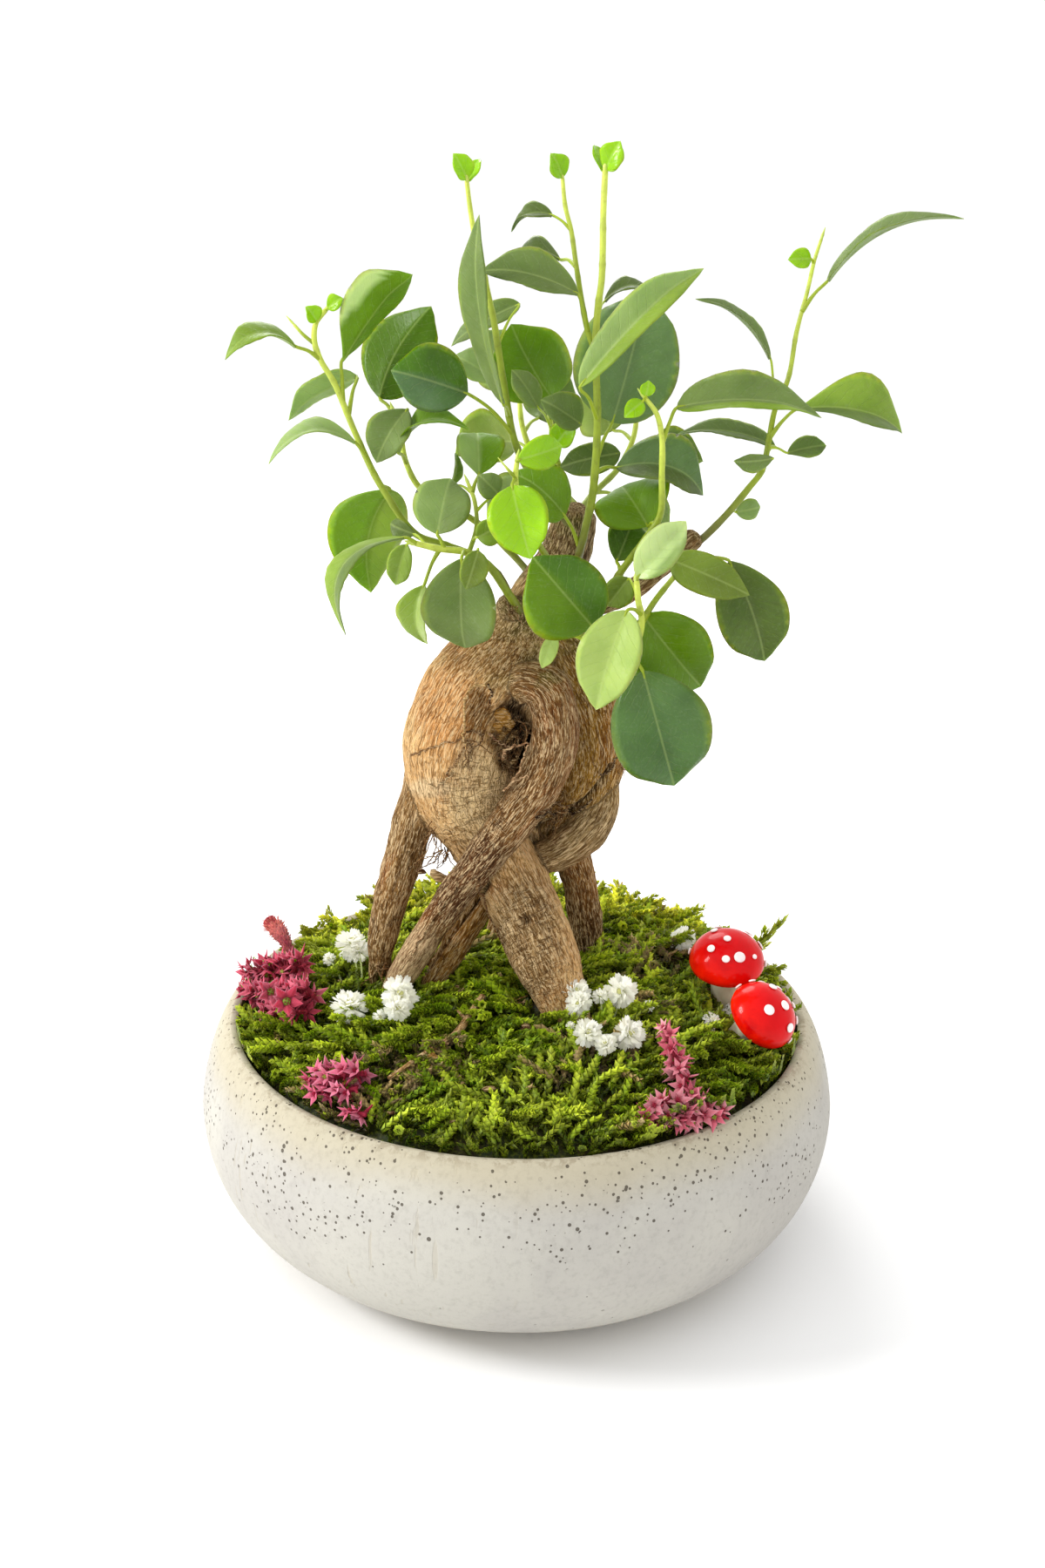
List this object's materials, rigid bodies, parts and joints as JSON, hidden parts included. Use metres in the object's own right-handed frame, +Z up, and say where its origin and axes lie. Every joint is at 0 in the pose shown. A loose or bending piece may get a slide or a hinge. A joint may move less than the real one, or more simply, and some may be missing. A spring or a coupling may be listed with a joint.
{
  "type": "potted bonsai",
  "caption": "Ficus ginseng bonsai with swollen aerial roots and leafy stems, on moss in a round concrete bowl, with dried flowers and toy mushrooms",
  "frame": {"origin": "centre of the bowl's flat foot, where it rests", "axes": "+Z up through the tree's crown, -Y towards the viewer of the picture, +X to the viewer's right"},
  "size_m": [0.2168, 0.2, 0.3299],
  "materials": {
    "concrete": "matte",
    "soil": "matte",
    "moss": "matte",
    "bark": "matte",
    "twig_bark": "matte",
    "leaf": "satin",
    "white_flower": "matte",
    "pink_flower": "matte",
    "mushroom_cap": "gloss",
    "mushroom_stem": "matte"
  },
  "bodies": {
    "root": {"bowl": "concrete", "shoot_far_left": "leaf", "shoot_left_back": "leaf", "shoot_left_low": "leaf", "shoot_front_young": "leaf", "shoot_tall": "leaf", "shoot_centre": "leaf", "shoot_top_left": "leaf", "shoot_mid_right": "leaf", "shoot_right": "leaf", "shoot_lower_right": "leaf", "shoot_back": "leaf", "breath_left": "white_flower", "breath_right": "white_flower", "breath_back": "white_flower", "breath_mushroom": "white_flower", "stars_left": "pink_flower", "stars_low_left": "pink_flower", "stars_right": "pink_flower", "mushroom_left_cap": "mushroom_cap", "mushroom_left_stem": "mushroom_stem", "mushroom_right_cap": "mushroom_cap", "mushroom_right_stem": "mushroom_stem", "twig": "twig_bark", "ginseng_root": "bark", "soil": "soil", "moss_mat": "moss"}
  },
  "joints": []
}
